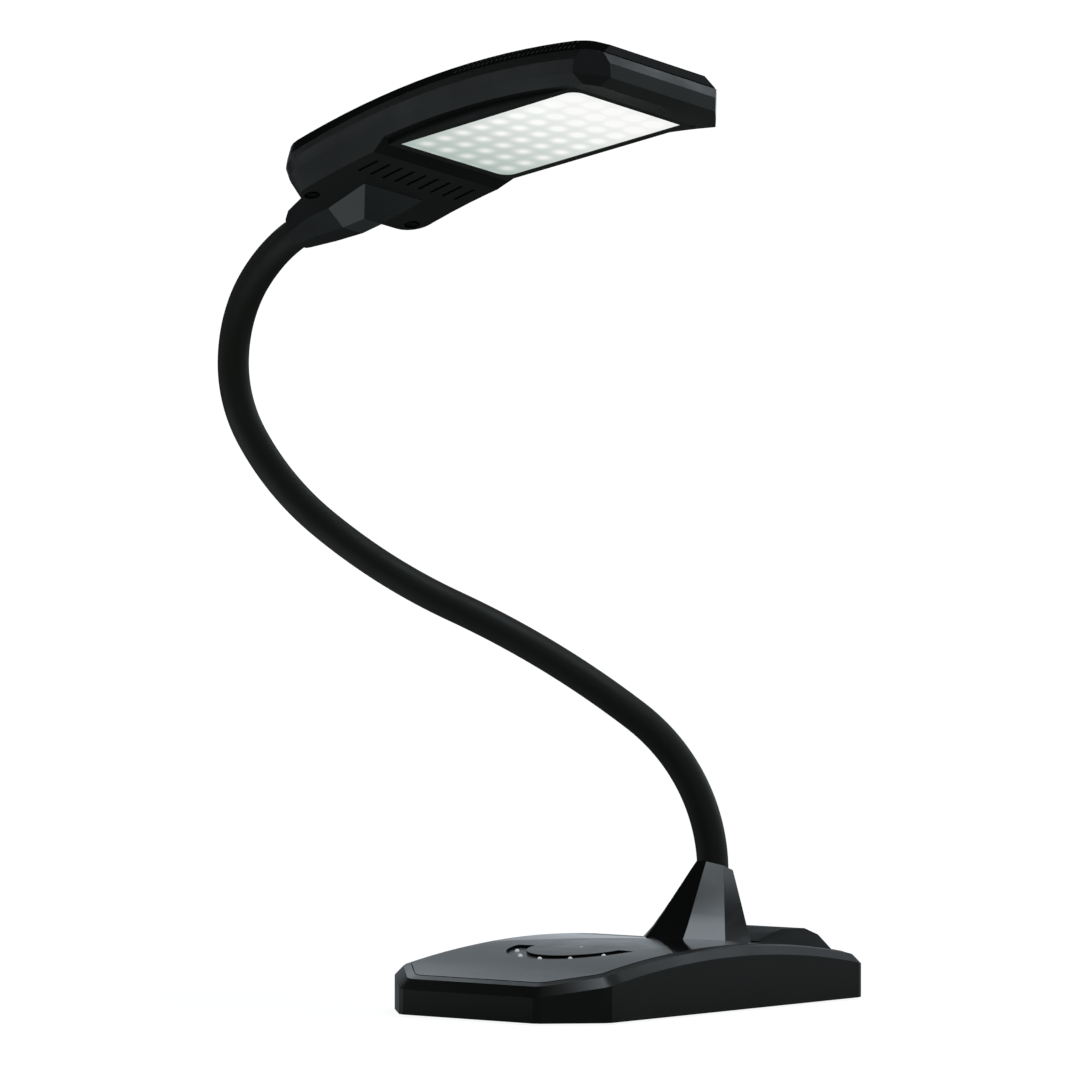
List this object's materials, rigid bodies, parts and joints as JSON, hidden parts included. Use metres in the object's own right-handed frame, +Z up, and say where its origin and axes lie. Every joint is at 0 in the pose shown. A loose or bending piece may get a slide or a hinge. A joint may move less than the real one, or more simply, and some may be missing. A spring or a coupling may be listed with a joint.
{
  "type": "gooseneck desk lamp",
  "caption": "Flat LED desk lamp on a bendable gooseneck, with a weighted base, touch dimmer panel and faceted pedestal.",
  "frame": {"origin": "on the desk, at the middle of the base", "axes": "+Z up from the desk, -Y to the side where the touch panel is, +X to the right for someone facing the panel"},
  "size_m": [0.3086, 0.2834, 0.4491],
  "materials": {
    "housing_black": "satin moulded, fine grain",
    "gloss_black": "high gloss",
    "panel_grey": "satin",
    "light_white": "opal, lit from behind",
    "rubber_black": "soft matte",
    "head_grey": "satin moulded",
    "steel": "plain",
    "ballast_steel": "mill finish",
    "aluminium": "plain",
    "board_green": "solder mask"
  },
  "bodies": {
    "base": {"base_housing": "housing_black", "bottom_plate": "housing_black", "ballast_plate": "ballast_steel", "rubber_feet": "rubber_black", "base_screws": "steel", "touch_panel": "panel_grey", "level_lights": "light_white", "touch_board": "board_green", "driver_board": "board_green", "pedestal": "gloss_black", "pedestal_screws": "steel", "neck_socket": "steel", "neck_nut": "steel", "rear_cover": "housing_black", "dc_socket": "housing_black", "sleeve_0": "rubber_black", "core_0": "steel"},
    "link_1": {"sleeve_1": "rubber_black", "core_1": "steel"},
    "link_2": {"sleeve_2": "rubber_black", "core_2": "steel"},
    "link_3": {"sleeve_3": "rubber_black", "core_3": "steel"},
    "link_4": {"sleeve_4": "rubber_black", "core_4": "steel"},
    "link_5": {"sleeve_5": "rubber_black", "core_5": "steel"},
    "link_6": {"sleeve_6": "rubber_black", "core_6": "steel"},
    "link_7": {"sleeve_7": "rubber_black", "core_7": "steel"},
    "head": {"sleeve_8": "rubber_black", "core_8": "steel", "coupler": "head_grey", "neck_adapter": "head_grey", "head_bottom": "head_grey", "head_shell": "head_grey", "head_cover": "gloss_black", "diffuser": "light_white", "led_board": "aluminium", "leds": "light_white", "heat_spreader": "aluminium", "neck_clamp": "steel", "head_screws": "steel"}
  },
  "joints": [
    {"name": "flex_1", "type": "hinge", "parent": "base", "child": "link_1", "pos_m": [-0.00206, 0.0627, 0.08355], "axis": [0.6361, -0.7716, 0], "range_deg": [-20, 20]},
    {"name": "flex_2", "type": "hinge", "parent": "link_1", "child": "link_2", "pos_m": [-0.02916, 0.04036, 0.13764], "axis": [-0.4697, -0.3872, -0.7934], "range_deg": [-20, 20]},
    {"name": "flex_3", "type": "hinge", "parent": "link_2", "child": "link_3", "pos_m": [-0.06223, 0.0131, 0.16691], "axis": [0.6361, -0.7716, 0], "range_deg": [-20, 20]},
    {"name": "flex_4", "type": "hinge", "parent": "link_3", "child": "link_4", "pos_m": [-0.09759, -0.01605, 0.19128], "axis": [-0.3241, -0.2672, -0.9075], "range_deg": [-20, 20]},
    {"name": "flex_5", "type": "hinge", "parent": "link_4", "child": "link_5", "pos_m": [-0.14796, -0.05757, 0.23258], "axis": [-0.6361, 0.7716, 0], "range_deg": [-25, 25]},
    {"name": "flex_6", "type": "hinge", "parent": "link_5", "child": "link_6", "pos_m": [-0.17444, -0.07939, 0.2746], "axis": [0.6796, 0.5602, 0.4736], "range_deg": [-25, 25]},
    {"name": "flex_7", "type": "hinge", "parent": "link_6", "child": "link_7", "pos_m": [-0.1814, -0.08514, 0.31045], "axis": [-0.6361, 0.7716, 0], "range_deg": [-25, 25]},
    {"name": "flex_8", "type": "hinge", "parent": "link_7", "child": "head", "pos_m": [-0.16612, -0.08654, 0.35049], "axis": [0.7407, -0.0682, -0.6684], "range_deg": [-25, 25]}
  ]
}
